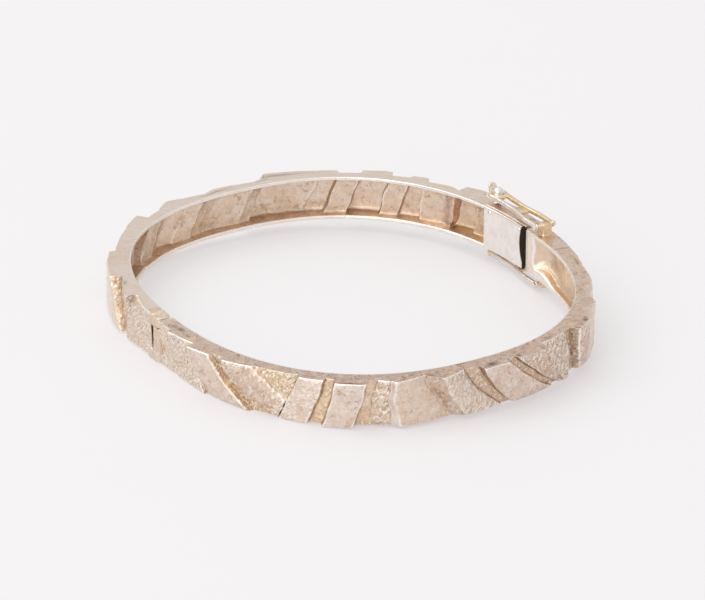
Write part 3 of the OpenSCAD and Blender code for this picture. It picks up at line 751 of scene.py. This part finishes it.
def cast_metal():
    """Cast silver with a worn gold wash: gold in hollows, rosy tarnish in clouds, bright edges that are
    partly wear and partly painted highlight.
    """
    s = Shader("cast_silver_gilt")
    texture, gilt, tarnish = s.attribute("texture"), s.attribute("gilt"), s.attribute("tarnish")
    ridge, mark = s.attribute("ridge"), s.attribute("mark")
    patch, cloud, fine = s.noise(0.4, 4.0, 0.6, 0.8), s.noise(1.1, 5.0, 0.65, 1.0), s.noise(6.0, 6.0, 0.75)
    pits, stains = s.cells(2.6), s.noise(1.5, 3.5, 0.6, 1.0)
    gold_share = s.math("ADD", gilt, s.ramp(patch, 0.35, 0.65, -0.25, 0.25), True)
    colour = s.blend(gold_share, SILVER, GOLD)
    colour = s.blend(s.share(tarnish, s.ramp(cloud, 0.36, 0.64, 0.4, 1.9)), colour, ROSE)
    colour = s.blend(s.share(tarnish, s.ramp(stains, 0.55, 0.68, 0.0, 2.2)), colour, BROWN)
    # Hollows of the grain turn brown and crests turn cream: partly dirt and wear, partly painted shade and
    # painted glints.
    hollow = s.share(s.ramp(ridge, 0.02, -0.25), s.ramp(texture, 0.1, 0.9, 0.05, 0.6))
    colour = s.blend(hollow, colour, BROWN)
    crest = s.share(s.ramp(ridge, 0.03, 0.22), s.ramp(texture, 0.1, 0.9, 0.0, 0.8))
    colour = s.blend(crest, colour, CREAM)
    colour = s.blend(s.share(s.ramp(ridge, -0.40, -0.80), s.ramp(fine, 0.35, 0.6, 0.3, 1.0)), colour, OXIDE_AND_SHADE)
    colour = s.blend(s.share(s.ramp(pits, 0.16, 0.04), s.ramp(cloud, 0.45, 0.6, 0.0, 0.6)), colour, BROWN)
    # Raised edges turn near white: worn silver, and partly painted highlight.
    colour = s.blend(s.share(s.ramp(ridge, 0.08, 0.22), s.ramp(cloud, 0.38, 0.5, 0.5, 1.0)), colour, BRIGHT)
    # The mark attribute turns the metal near black: stains and dirt at the feet of walls, and also painted
    # shade in the hinge gap and a painted shadow line on the front's side face.
    colour = s.blend(s.share(mark, s.ramp(fine, 0.3, 0.6, 0.6, 1.1)), colour, OXIDE_AND_SHADE)
    roughness = s.math("ADD", s.ramp(texture, 0.0, 1.0, 0.28, 0.32), s.ramp(patch, 0.3, 0.7, -0.06, 0.08))
    relief = s.math("ADD", s.math("MULTIPLY", fine, s.ramp(texture, 0.0, 1.0, 0.15, 1.0)),
                    s.math("MULTIPLY", cloud, s.ramp(texture, 0.0, 1.0, 0.4, 2.0)))
    s.bump(relief, 0.08)
    return s.finish(colour, roughness)


def smooth_metal(name, base, stain_colour, stain_share, roughness):
    """Sheet metal: a stained polish with fine scratches along the band."""
    s = Shader(name)
    patch, fine = s.noise(0.7, 5.0, 0.6, 0.8), s.noise(9.0, 6.0, 0.7)
    lines = s.streaks(1.4, (1.2, 1.2, 14.0))
    colour = s.blend(s.share(s.ramp(patch, 0.4, 0.7), stain_share), base, stain_colour)
    rough = s.math("ADD", s.ramp(patch, 0.3, 0.7, roughness - 0.04, roughness + 0.08),
                   s.ramp(lines, 0.3, 0.7, -0.03, 0.05))
    # The mark attribute turns the sheet near black: painted shade, used on the inner plate's edge at the
    # clasp's mouth.
    colour = s.blend(s.attribute("mark"), colour, OXIDE_AND_SHADE)
    s.bump(s.math("ADD", s.math("MULTIPLY", lines, 0.3), s.math("MULTIPLY", fine, 0.25)), 0.02)
    return s.finish(colour, rough)


def wire_metal():
    """Soldered wire: silver where it is rubbed, gold where its gilt attribute says so."""
    s = Shader("wire_gilt")
    patch, fine = s.noise(1.3, 5.0, 0.65, 0.8), s.noise(9.0, 6.0, 0.7)
    gold_share = s.share(s.attribute("gilt"), s.ramp(patch, 0.3, 0.6, 0.75, 1.2))
    colour = s.blend(gold_share, WIRE_SILVER, WIRE_GOLD)
    dirt = s.share(s.attribute("tarnish"), s.ramp(patch, 0.4, 0.65, 0.2, 1.4))
    colour = s.blend(dirt, colour, BROWN)
    s.bump(s.math("ADD", patch, s.math("MULTIPLY", fine, 0.4)), 0.04)
    return s.finish(colour, s.ramp(fine, 0.3, 0.7, 0.14, 0.30))


CAST = cast_metal()
WIRE = wire_metal()
POLISHED = smooth_metal("polished_silver", (0.92, 0.87, 0.83, 1), (0.78, 0.69, 0.62, 1), 0.6, 0.16)
WORN = smooth_metal("worn_silver", (0.78, 0.70, 0.62, 1), (0.56, 0.44, 0.36, 1), 0.8, 0.26)
# Near-black sheet for the clasp's mouth plate: painted shade inside the mouth of the box, not the metal's
# own colour.
MOUTH_SHADE = smooth_metal("mouth_painted_shade", (0.06, 0.045, 0.035, 1), (0.03, 0.02, 0.02, 1), 0.8, 0.5)
WASH = smooth_metal("gold_wash", (0.84, 0.64, 0.40, 1), (0.62, 0.43, 0.27, 1), 0.7, 0.28)


# ---- the two castings
BOX_END = angle_at_y(BOX_END_Y, 1)
FRONT_SPAN = (360 + angle_at_y(FRONT_HINGE_Y, -1), 360 + angle_at_y(-END_PLATE_T, 1))
REAR_SPAN = (angle_at_y(MOUTH_Y, 1), angle_at_y(REAR_HINGE_Y, -1))
POCKET_START = 191
POCKET_STOP = 169
SCOOP_DEG = 5


def plate_seat(theta):
    """Setback of the rear casting's inner side where the clasp's inner plate lies on it."""
    return PLATE_T * (1 - smooth((theta - BOX_END) / 0.3))


def front_open(theta, z):
    """How open the front half's pocket is: it ends in a scoop with a wavy edge near the clasp."""
    wavy_end = 355.6 + 0.3 * np.cos(1.9 * (z + 0.6))
    scoop = 1 - (1 - np.clip((wavy_end - theta) / SCOOP_DEG, 0, 1)) ** 2.6
    return smooth((theta - POCKET_START) / 1.2 + 0.5) * scoop


def rear_open(theta, z):
    """The rear half's pocket runs on under the inner plate and closes at the hinge."""
    return smooth((POCKET_STOP - theta) / 1.2 + 0.5) + 0 * z


def front_lift(theta):
    """Rise of the pocket's lower edge, where the lower rim thickens towards the clasp."""
    return 0.7 * smooth((theta - 343) / 9)


def front_gilt(theta, z):
    """More gold in the front half's pocket towards the clasp."""
    return 0.45 + 0.20 * smooth((theta - 320) / 20) + 0 * z


def rear_gilt(theta, z):
    """More gold in the rear half's pocket beside the clasp and along its lower wall."""
    near_clasp = 0.55 * (1 - smooth((theta - 20) / 14))
    return 0.45 + near_clasp + 0.2 * smooth((-z - 1.2) / 0.8)


def front_tarnish(theta):
    """Tarnish of the front half's side faces, strongest near its middle."""
    return 0.30 + 0.42 * np.exp(-((theta - 252) / 60) ** 2)


def rear_tarnish(theta):
    """Tarnish of the rear half's side faces: one patch on the large smooth block, one by the clasp."""
    return 0.05 + 0.10 * np.exp(-((theta - 138) / 8) ** 2) + 0.45 * np.exp(-(theta / 20) ** 2)


Casting(Relief(FRONT_RELIEF, FRONT_SPAN), open_at=front_open, lift_at=front_lift, marks=FRONT_MARKS,
        face_tarnish_at=front_tarnish, pocket_gilt_at=front_gilt, pocket_texture=0.3, pocket_round=0.38,
        ).build("front_casting", "tongue_half", "front_half_hoop")
Casting(Relief(REAR_RELIEF, REAR_SPAN), open_at=rear_open, seat_at=plate_seat, marks=REAR_MARKS,
        face_tarnish_at=rear_tarnish, pocket_gilt_at=rear_gilt, pocket_tarnish=0.32, face_gilt=0.25,
        ).build("rear_casting", "clasp_half", "rear_half_hoop")


# ---- hinge
BARREL_R = -HALF_X - HINGE.x - 0.02
BLOCK_END = 1.16
KNUCKLE_SQUARENESS = 2.5
TAIL_STEPS = 12
ARC_STEPS = 24
MID_KNUCKLE_Z = 1.6
KNUCKLE_GAP = 0.03
KNUCKLE_REACH = 0.86
KNUCKLE_GRAIN_MM = 0.12
PIN_COVER = 0.012
OUTER_KNUCKLE = (MID_KNUCKLE_Z + KNUCKLE_GAP, HALF_H + PIN_COVER)
# Points of the front knuckle this far round into the hinge gap are marked near black: painted shade in the
# gap.
GAP_SHADE_FROM = 0.55


def knuckle(direction, z_low, z_high):
    """Knuckle round the pin: square where it joins its block, rounded where it turns."""
    tail = BLOCK_END + 0.3
    outline = [(BARREL_R, -tail * (1 - k / TAIL_STEPS)) for k in range(TAIL_STEPS)]
    power = 2 / KNUCKLE_SQUARENESS
    for k in range(ARC_STEPS + 1):
        t = math.pi * k / ARC_STEPS
        across = math.copysign(abs(math.cos(t)) ** power, math.cos(t))
        outline.append((across * BARREL_R, math.sin(t) ** power * KNUCKLE_REACH))
    outline += [(-BARREL_R, -tail * (k + 1) / TAIL_STEPS) for k in range(TAIL_STEPS)]
    bevel, rows = 0.07, 30
    levels = [(z_low, 1 - bevel)]
    levels += [(mix(z_low + bevel, z_high - bevel, k / rows), 1) for k in range(rows + 1)]
    levels += [(z_high, 1 - bevel)]
    rings = []
    for z, size in levels:
        points = [Vector((HINGE.x + x * size, HINGE.y + direction * y * size, z)) for x, y in outline]
        outside = [0.8 if x < 0.4 else 0.0 for x, _ in outline]
        rough = grain(points, outside, scale=1.9, seed=5.1)
        rings.append([p - X_AXIS * (KNUCKLE_GRAIN_MM * r) for p, r in zip(points, rough)])
    return loft(rings)


def hinge_end(side, facets, body, knuckles):
    """One hinge end: a block that carries the relief on to the hinge, and its knuckles."""
    node = "rear_hinge_end" if side > 0 else "front_hinge_end"
    near = angle_at_y(HINGE.y + side * BLOCK_END, -1) % 360
    far = angle_at_y(REAR_HINGE_Y if side > 0 else FRONT_HINGE_Y, -1) % 360
    block = Casting(Relief(facets, (min(near, far), max(near, far))), marks=FRONT_MARKS,
                    face_tarnish_at=lambda theta: 0.25 + 0 * theta, gap_shade_column=-1 if side > 0 else None)
    block.build(node + "_block", body, node)
    shells = Shells()
    for z_low, z_high in knuckles:
        shell = knuckle(-side, z_low, z_high)
        # Marks the knuckle's round end inside the gap near black: painted shade.
        gap_shade = [1.0 if -side * (v.y - HINGE.y) > GAP_SHADE_FROM else 0.0 for v in shell[0]]
        shells.add(shell, texture=0.8, gilt=0.35, tarnish=0.1, marks=gap_shade if side < 0 else None)
    shells.build(node + "_knuckles", CAST, "cast_gilt", body, node)


hinge_end(-1, FRONT_RELIEF, "tongue_half", [(-MID_KNUCKLE_Z, MID_KNUCKLE_Z)])
hinge_end(1, REAR_RELIEF, "clasp_half", [(-OUTER_KNUCKLE[1], -OUTER_KNUCKLE[0]), OUTER_KNUCKLE])


# ---- clasp
def plate_section():
    """Points round the inner plate's thickness and height, as (offset, z, place on the face) triples."""
    high, bevel = HALF_H - 0.05, 0.14
    inner = [(0.0, mix(-high + bevel, high - bevel, k / 30)) for k in range(31)]
    return [*inner, (0.05, high - 0.04), (0.12, high), (PLATE_T, high), (PLATE_T, -high),
            (0.12, -high), (0.05, -high + 0.04)]


def inner_plate():
    """Polished plate over the box, with a scooped edge at the mouth and a bevel all round."""
    scoop_depth, scoop_z, scoop_r, set_back = 0.6, 0.6, 5.8, 0.10
    rings, marks = [], []
    steps = 34
    for k in range(steps + 1):
        ring = []
        shrink = 0.05 if k in (0, steps) else 0.0
        for off, z in plate_section():
            scoop = max(0.0, scoop_depth - (scoop_r - math.sqrt(scoop_r ** 2 - (z - scoop_z) ** 2)))
            start = angle_at_y(MOUTH_Y + set_back + scoop, 1)
            theta = mix(start, BOX_END, 0.5 + 0.5 * crowd(2 * k / steps - 1))
            wave = 0.015 * noise.noise(Vector((theta * 0.35, z * 0.5, 3.0)))
            ring.append(band_points(np.array(theta), max(off, shrink) + wave, z))
        rings.append(ring)
        # The first ring, the plate's edge at the mouth, is marked near black: painted shade in the gap at
        # the mouth.
        marks += [1.0 if k == 0 else 0.0] * len(ring)
    shells = Shells()
    shells.add(loft(rings), marks=marks)
    for y, dot_r in ((MOUTH_Y + 0.75, 0.26), (BOX_END_Y - 1.2, 0.36)):
        place, normal = oval_points(np.array(angle_at_y(y, 1)))
        centre = Vector((place[0], place[1], HALF_H - 0.62))
        out = Vector((normal[0], normal[1], 0))
        dome = ((0.05, 1.0), (0.0, 1.0), (-0.10, 0.85), (-0.17, 0.5), (-0.20, 0.07))
        rings = [(depth, share * dot_r) for depth, share in dome]
        across = out.cross(Z_AXIS)
        shells.add(loft([circle_path(centre + out * depth, r, Z_AXIS, across, 16) for depth, r in rings]))
    shells.build("inner_plate", POLISHED, "polished_silver", "clasp_half", "clasp_inner_plate")


def end_plate():
    """Plate across the end of the front half, its inner edge bevelled towards the box."""
    low, high = node_box("tongue_end_plate")
    middle = (low + high) / 2
    half_x, half_z = (high.x - low.x) / 2, HALF_H
    levels = [(0.0, half_x - 0.04, 0.0), (0.04, half_x, 0.0), (END_PLATE_T - 0.26, half_x, 0.0),
              (END_PLATE_T - 0.03, half_x - 0.12, 0.11), (END_PLATE_T, half_x - 0.16, 0.13)]
    rings = []
    for height, wide, shift in levels:
        outline = rounded_outline(wide, half_z - 0.02, 0.12)
        rings.append([Vector((middle.x + shift + a, low.y + height, b)) for a, b in outline])
    shells = Shells()
    shells.add(loft(rings))
    shells.build("end_plate", WORN, "worn_silver", "tongue_half", "tongue_end_plate")


LEAF_RISE_DEG = 8.5
LEAF_REACH = 5.52
FOLD_R = 0.35


def tab_frame():
    """Frame of the thumb tab: x stands out of the spring leaf, y runs back along it."""
    turn = Matrix.Rotation(math.radians(LEAF_RISE_DEG), 4, "Z")
    along_leaf = Matrix.Translation((FOLD_R, -LEAF_REACH, 0))
    return Matrix.Translation((FOLD.x, FOLD.y, 0)) @ turn @ along_leaf


def thumb_tab():
    """Stem and ridged pad that the thumb presses to free the tongue."""
    place = tab_frame()
    shells = Shells()
    origin = place @ Vector((0, -0.1, 0))
    x_axis, y_axis, z_axis = (place.to_3x3() @ axis for axis in (X_AXIS, Y_AXIS, Z_AXIS))
    shells.add(stacked(origin, y_axis, z_axis, x_axis, [(0.0, 0.40, 0.90, 0.1), (1.8, 0.40, 0.90, 0.1)]),
               gilt=0.4, tarnish=0.2)
    pad_low, pad_l, pad_w, ridges = -1.7, 3.2, 1.4, 6
    rings = []
    rows = ridges * 8
    for k in range(rows + 1):
        t = k / rows
        ridge = 0.5 - 0.5 * math.cos(2 * math.pi * ridges * t)
        end = 0.06 if k in (0, rows) else 0.0
        thick = 0.19 + 0.06 * ridge - end
        wide = pad_w * (1 - 0.10 * (2 * t - 1) ** 4) - end
        centre = place @ Vector((1.75 + thick, pad_low + pad_l * t, 0))
        rings.append([centre + x_axis * a + z_axis * b for a, b in rounded_outline(thick, wide, 0.1)])
    shells.add(loft(rings), texture=0.2, gilt=0.45, tarnish=0.25)
    shells.build("thumb_tab_pad", CAST, "cast_gilt", "spring_leaf", "thumb_tab")


inner_plate()
end_plate()
thumb_tab()


# ---- safety catches
WIRE_R = 0.33
BAR_X = 1.15
WAIST_X = 0.8
WAIST_Y = 3.9
WEB_Y = 2.2
RING_R = 0.98
EYE_R = 0.22
EYE_WIRE_R = 0.20
LOOP_X = UPPER_PIN.x
LOOP_Z = UPPER_PIN.z
PIN_Y = UPPER_PIN.y


def safety_loop(name, side, body):
    """Figure of eight of round wire: two side bars drawn in at the waist, a ring, a web and a tip."""
    shells = Shells()
    middle = Vector((LOOP_X, 0, side * LOOP_Z))
    for s, gilt in ((-1, 0.15), (1, 1.0)):
        bar = [(s * BAR_X, PIN_Y + 0.25, 0), (s * BAR_X * 1.02, -0.8, 0), (s * BAR_X, 0.8, 0),
               (s * 0.95, 2.5, 0), (s * WAIST_X, WAIST_Y, 0), (s * WAIST_X, 5.6, 0),
               (s * WAIST_X * 1.05, 7.2, 0), (s * RING_R * 0.9, STUD_Y - 0.5, 0)]
        shells.add(sweep(smooth_path([middle + Vector(p) for p in bar]), WIRE_R), gilt=gilt, tarnish=0.15)
        eye = middle + Vector((s * BAR_X, PIN_Y, 0))
        eye_path = circle_path(eye, EYE_R, Y_AXIS, Z_AXIS, 28)
        shells.add(sweep(eye_path, EYE_WIRE_R, X_AXIS, True), gilt=gilt, tarnish=0.4)
    ring_centre = middle + Vector((0, STUD_Y, 0))
    shells.add(sweep(circle_path(ring_centre, RING_R, X_AXIS, Y_AXIS, 48), WIRE_R, Z_AXIS, True),
               gilt=0.55, tarnish=0.1)
    web = [(0.0, 0.98, 0.17, 0.16), (0.08, 1.0, 0.22, 0.2), (WAIST_Y - WEB_Y - 0.08, 0.78, 0.22, 0.2),
           (WAIST_Y - WEB_Y, 0.76, 0.17, 0.16)]
    shells.add(stacked(middle + Vector((0, WEB_Y, 0)), X_AXIS, Z_AXIS, Y_AXIS, web), gilt=1.0, tarnish=0.35)
    lean = math.radians(60)
    rise = Vector((0, math.cos(lean), side * math.sin(lean)))
    through = X_AXIS.cross(rise)
    tip = [(0.0, 0.60, 0.20, 0.12), (0.5, 0.58, 0.19, 0.12), (1.0, 0.50, 0.16, 0.1),
           (1.2, 0.42, 0.12, 0.08), (1.28, 0.30, 0.06, 0.05)]
    shells.add(stacked(ring_centre + Y_AXIS * RING_R, X_AXIS, through, rise, tip), gilt=0.45, tarnish=0.3)
    shells.build(name + "_figure", WIRE, "wire_gilt", body, name + "_loop")


def safety_lug(name, side):
    """Soldered lug that the loop turns on, with a fillet of solder round its foot."""
    shells = Shells()
    foot = Vector((LOOP_X, PIN_Y - 0.15, side * HALF_H))
    levels = [(-0.02, 0.84, 0.80, 0.3), (0.05, 0.74, 0.72, 0.25), (0.20, 0.66, 0.66, 0.18),
              (1.20, 0.65, 0.65, 0.16), (1.36, 0.61, 0.61, 0.18), (1.44, 0.50, 0.50, 0.18)]
    shells.add(stacked(foot, X_AXIS, Y_AXIS, Z_AXIS * side, levels), gilt=1.0, tarnish=0.3)
    shells.build(name + "_lug_body", WIRE, "gold_wash", "tongue_half", name + "_lug")


def safety_stud(name, side):
    """Ball on a soldered post, which the loop's ring snaps over."""
    shells = Shells()
    centre_z, ball_r, post_r = LOOP_Z - HALF_H + 0.35, 0.72, 0.4
    profile = [(0.62, -0.02), (0.52, 0.06), (0.44, 0.18), (post_r, 0.3), (post_r, centre_z - 0.62)]
    for k in range(1, 12):
        t = math.radians(mix(-58, 88, k / 11))
        profile.append((ball_r * math.cos(t), centre_z + ball_r * math.sin(t)))
    flipped = [(r, side * z) for r, z in profile]
    shells.add(lathe(Vector((LOOP_X, STUD_Y, side * HALF_H)), flipped), tarnish=0.1)
    shells.build(name + "_stud_ball", WIRE, "polished_silver", "clasp_half", name + "_stud")


for catch, facing in (("upper_safety", 1), ("lower_safety", -1)):
    safety_loop(catch, facing, catch)
    safety_lug(catch, facing)
    safety_stud(catch, facing)

# The mouth plate takes the near-black material, which is painted shade in the mouth.
for carried, metal in {"hinge_pin": WORN, "clasp_back_wall": WASH, "clasp_mouth_plate": MOUTH_SHADE,
                       "tongue_base_leaf": WORN, "tongue_spring_leaf": WORN, "upper_safety_pin": POLISHED,
                       "lower_safety_pin": POLISHED}.items():
    mesh = frame["nodes"][carried].data
    mesh.materials.clear()
    mesh.materials.append(metal)


# ---- floor, light and camera
FLOOR_LOW = (0.354, 0.347, 0.351, 1)
FLOOR_HIGH = (0.360, 0.353, 0.357, 1)
FLOOR_GLOW = (0.913, 0.896, 0.905, 1)
GLOW_STRENGTH = 0.5
BAND_FOOT = 2.5
TENT_LOW = 0.63
TENT_HIGH = 0.93


def floor():
    """Pale glowing floor that touches the lower safety catch and the band opposite it."""
    stud = node_box("lower_safety_stud")
    low = Vector(((stud[0].x + stud[1].x) / 2, (stud[0].y + stud[1].y) / 2, 0))
    drop = -HALF_H - stud[0].z
    reach = low.length + HALF_X + BAND_FOOT
    direction = low.normalized()
    size = 900
    corners = []
    for x, y in ((-size, -size), (size, -size), (size, size), (-size, size)):
        along = x * direction.x + y * direction.y
        z = stud[0].z + (low.length - along) * drop / reach
        corners.append(Vector((x, y, z)) * MM)
    mesh = bpy.data.meshes.new("floor")
    mesh.from_pydata(corners, [], [(0, 1, 2, 3)])
    plane = new_object("floor", mesh)
    s = Shader("pale_floor")
    colour = s.blend(s.noise(0.05, 2.0), FLOOR_LOW, FLOOR_HIGH)
    s.surface.inputs["Emission Color"].default_value = FLOOR_GLOW
    s.surface.inputs["Emission Strength"].default_value = GLOW_STRENGTH
    mesh.materials.append(s.finish(colour, s.ramp(s.noise(0.5), 0, 1, 0.6, 0.7), 0.0))


def area_light(name, place, size, watts):
    """Softbox that faces the origin."""
    light = bpy.data.lights.new(name, "AREA")
    light.shape = "RECTANGLE"
    light.size, light.size_y = size
    light.energy = watts
    lamp = new_object(name, light)
    lamp.location = place
    lamp.rotation_mode = "QUATERNION"
    lamp.rotation_quaternion = (-Vector(place)).to_track_quat("-Z", "Y")


def studio():
    """White tent, brighter overhead than at its sides, with a softbox above and a weak fill."""
    world = bpy.data.worlds.new("soft_tent")
    bpy.context.scene.world = world
    world.use_nodes = True
    tree = world.node_tree
    background = tree.nodes["Background"]
    direction = add_node(tree, "TexCoord").outputs["Generated"]
    height = add_node(tree, "SeparateXYZ", {"Vector": direction}).outputs["Z"]
    glow = add_node(tree, "MapRange", {"Value": height, "From Min": 0.0, "From Max": 0.9,
                                       "To Min": TENT_LOW, "To Max": TENT_HIGH}).outputs["Result"]
    tree.links.new(glow, background.inputs["Strength"])
    background.inputs["Color"].default_value = (1.0, 0.985, 0.985, 1)
    area_light("key", (-0.35, 0.25, 0.75), (0.8, 0.8), 3.4)
    area_light("fill", (-0.65, -0.45, 0.35), (0.5, 0.5), 1.3)
    bpy.context.scene.view_settings.view_transform = "Standard"


def camera():
    """The photograph's viewing angle: seen from the hinge's side, 25 degrees above the band."""
    azimuth, elevation = math.radians(-30.7), math.radians(25)
    distance, lens = 700 * MM, 288
    back = Vector((math.sin(azimuth) * math.cos(elevation), -math.cos(azimuth) * math.cos(elevation),
                   math.sin(elevation)))
    turn = (-back).to_track_quat("-Z", "Y")
    right, up = turn @ X_AXIS, turn @ Y_AXIS
    data = bpy.data.cameras.new("camera")
    data.sensor_width, data.lens = 36, lens
    data.clip_start, data.clip_end = 0.05, 5
    made = new_object("camera", data)
    made.rotation_mode = "QUATERNION"
    made.rotation_quaternion = turn
    made.location = back * distance + (right * 0.10 - up * 0.80) * MM
    bpy.context.scene.camera = made


floor()
studio()
camera()
